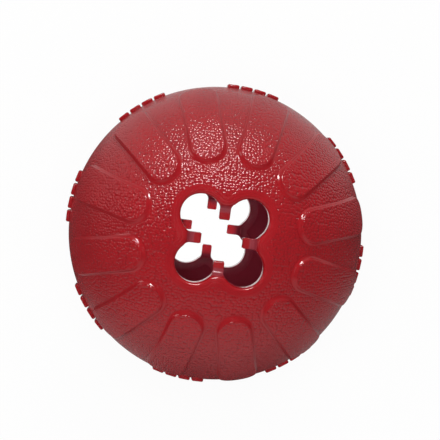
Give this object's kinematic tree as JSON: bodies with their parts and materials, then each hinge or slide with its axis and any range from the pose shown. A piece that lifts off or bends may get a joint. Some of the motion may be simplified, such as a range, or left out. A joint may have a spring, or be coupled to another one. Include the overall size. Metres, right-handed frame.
{
  "type": "treat dispensing ball",
  "caption": "Hollow red rubber ball with grip pads and a four-lobed mouth at each end, where flexible teeth hold treats in until the ball is rolled or chewed.",
  "frame": {"origin": "centre of the ball, midway between its two end flats", "axes": "+Z through the centres of the two mouths; +X points at the neck that carries tooth 1 at each end"},
  "size_m": [0.089, 0.089, 0.083],
  "materials": {
    "grained_rubber": "semi-gloss with a fine pebble grain",
    "smooth_rubber": "semi-gloss, smooth"
  },
  "bodies": {
    "ball": {"upper_half_shell": "grained_rubber", "lower_half_shell": "grained_rubber", "upper_mouth_lip": "smooth_rubber", "lower_mouth_lip": "smooth_rubber", "upper_pad_1": "grained_rubber", "upper_pad_2": "grained_rubber", "upper_pad_3": "grained_rubber", "upper_pad_4": "grained_rubber", "upper_pad_5": "grained_rubber", "upper_pad_6": "grained_rubber", "upper_pad_7": "grained_rubber", "upper_pad_8": "grained_rubber", "upper_pad_9": "grained_rubber", "upper_pad_10": "grained_rubber", "upper_pad_11": "grained_rubber", "upper_pad_12": "grained_rubber", "lower_pad_1": "grained_rubber", "lower_pad_2": "grained_rubber", "lower_pad_3": "grained_rubber", "lower_pad_4": "grained_rubber", "lower_pad_5": "grained_rubber", "lower_pad_6": "grained_rubber", "lower_pad_7": "grained_rubber", "lower_pad_8": "grained_rubber", "lower_pad_9": "grained_rubber", "lower_pad_10": "grained_rubber", "lower_pad_11": "grained_rubber", "lower_pad_12": "grained_rubber", "grip_bars_1": "grained_rubber", "grip_bars_2": "grained_rubber", "grip_bars_3": "grained_rubber", "grip_bars_4": "grained_rubber", "grip_bars_5": "grained_rubber", "grip_bars_6": "grained_rubber", "grip_bars_7": "grained_rubber", "grip_bars_8": "grained_rubber"},
    "upper_tooth_1": {"upper_tooth_1": "smooth_rubber"},
    "upper_tooth_2": {"upper_tooth_2": "smooth_rubber"},
    "upper_tooth_3": {"upper_tooth_3": "smooth_rubber"},
    "upper_tooth_4": {"upper_tooth_4": "smooth_rubber"},
    "lower_tooth_1": {"lower_tooth_1": "smooth_rubber"},
    "lower_tooth_2": {"lower_tooth_2": "smooth_rubber"},
    "lower_tooth_3": {"lower_tooth_3": "smooth_rubber"},
    "lower_tooth_4": {"lower_tooth_4": "smooth_rubber"}
  },
  "joints": [
    {"name": "upper_tooth_1_bend", "type": "hinge", "parent": "ball", "child": "upper_tooth_1", "pos_m": [0.0105, 0, 0.0372], "axis": [0, -1, 0], "range_deg": [-35, 45], "stiffness_Nm_per_rad": 0.0015},
    {"name": "upper_tooth_2_bend", "type": "hinge", "parent": "ball", "child": "upper_tooth_2", "pos_m": [0, 0.0105, 0.0372], "axis": [1, 0, 0], "range_deg": [-35, 45], "stiffness_Nm_per_rad": 0.0015},
    {"name": "upper_tooth_3_bend", "type": "hinge", "parent": "ball", "child": "upper_tooth_3", "pos_m": [-0.0105, 0, 0.0372], "axis": [0, 1, 0], "range_deg": [-35, 45], "stiffness_Nm_per_rad": 0.0015},
    {"name": "upper_tooth_4_bend", "type": "hinge", "parent": "ball", "child": "upper_tooth_4", "pos_m": [0, -0.0105, 0.0372], "axis": [-1, 0, 0], "range_deg": [-35, 45], "stiffness_Nm_per_rad": 0.0015},
    {"name": "lower_tooth_1_bend", "type": "hinge", "parent": "ball", "child": "lower_tooth_1", "pos_m": [0.0105, 0, -0.0372], "axis": [0, 1, 0], "range_deg": [-35, 45], "stiffness_Nm_per_rad": 0.0015},
    {"name": "lower_tooth_2_bend", "type": "hinge", "parent": "ball", "child": "lower_tooth_2", "pos_m": [0, 0.0105, -0.0372], "axis": [-1, 0, 0], "range_deg": [-35, 45], "stiffness_Nm_per_rad": 0.0015},
    {"name": "lower_tooth_3_bend", "type": "hinge", "parent": "ball", "child": "lower_tooth_3", "pos_m": [-0.0105, 0, -0.0372], "axis": [0, -1, 0], "range_deg": [-35, 45], "stiffness_Nm_per_rad": 0.0015},
    {"name": "lower_tooth_4_bend", "type": "hinge", "parent": "ball", "child": "lower_tooth_4", "pos_m": [0, -0.0105, -0.0372], "axis": [1, 0, 0], "range_deg": [-35, 45], "stiffness_Nm_per_rad": 0.0015}
  ]
}
